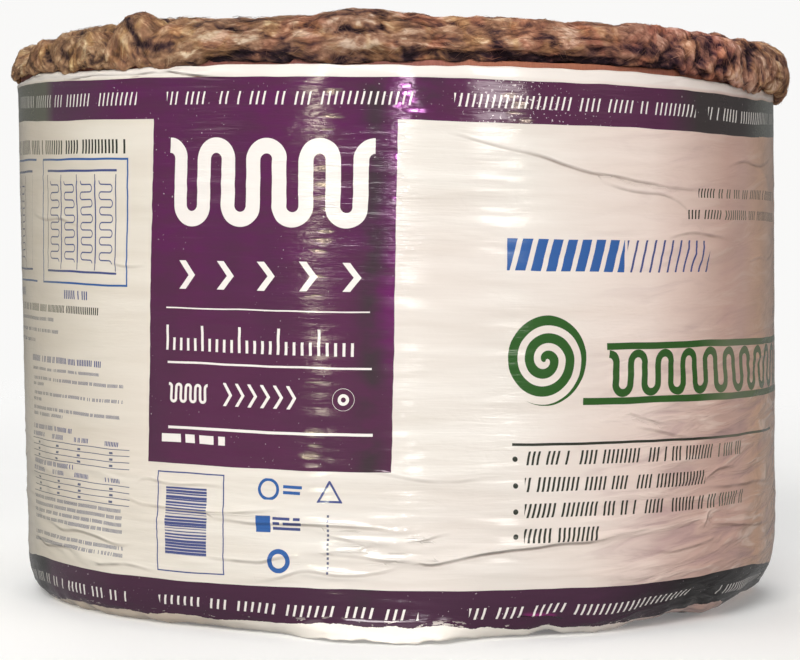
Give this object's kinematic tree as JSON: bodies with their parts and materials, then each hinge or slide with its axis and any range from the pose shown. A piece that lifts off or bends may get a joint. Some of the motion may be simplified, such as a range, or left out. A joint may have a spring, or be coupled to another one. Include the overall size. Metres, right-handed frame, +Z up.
{
  "type": "insulation roll",
  "caption": "Roll of kraft-faced brown glass wool batt standing on end, held in a printed film sleeve, with its turns and small eye showing on the ends.",
  "frame": {"origin": "middle of the bottom end, on the floor that the roll stands on", "axes": "+Z up along the roll's axis; -Y is the side that the printed front faces"},
  "size_m": [0.542, 0.542, 0.384],
  "materials": {
    "glass_wool": "brown glass wool, matted fibres, fully matte",
    "kraft_paper": "reddish kraft paper, satin",
    "printed_film": "thin white poly film printed in purple, green and blue, wrinkled, semi-gloss"
  },
  "bodies": {
    "root": {"glass_wool_roll": "glass_wool", "kraft_facing": "kraft_paper", "film_wrap": "printed_film"}
  },
  "joints": []
}
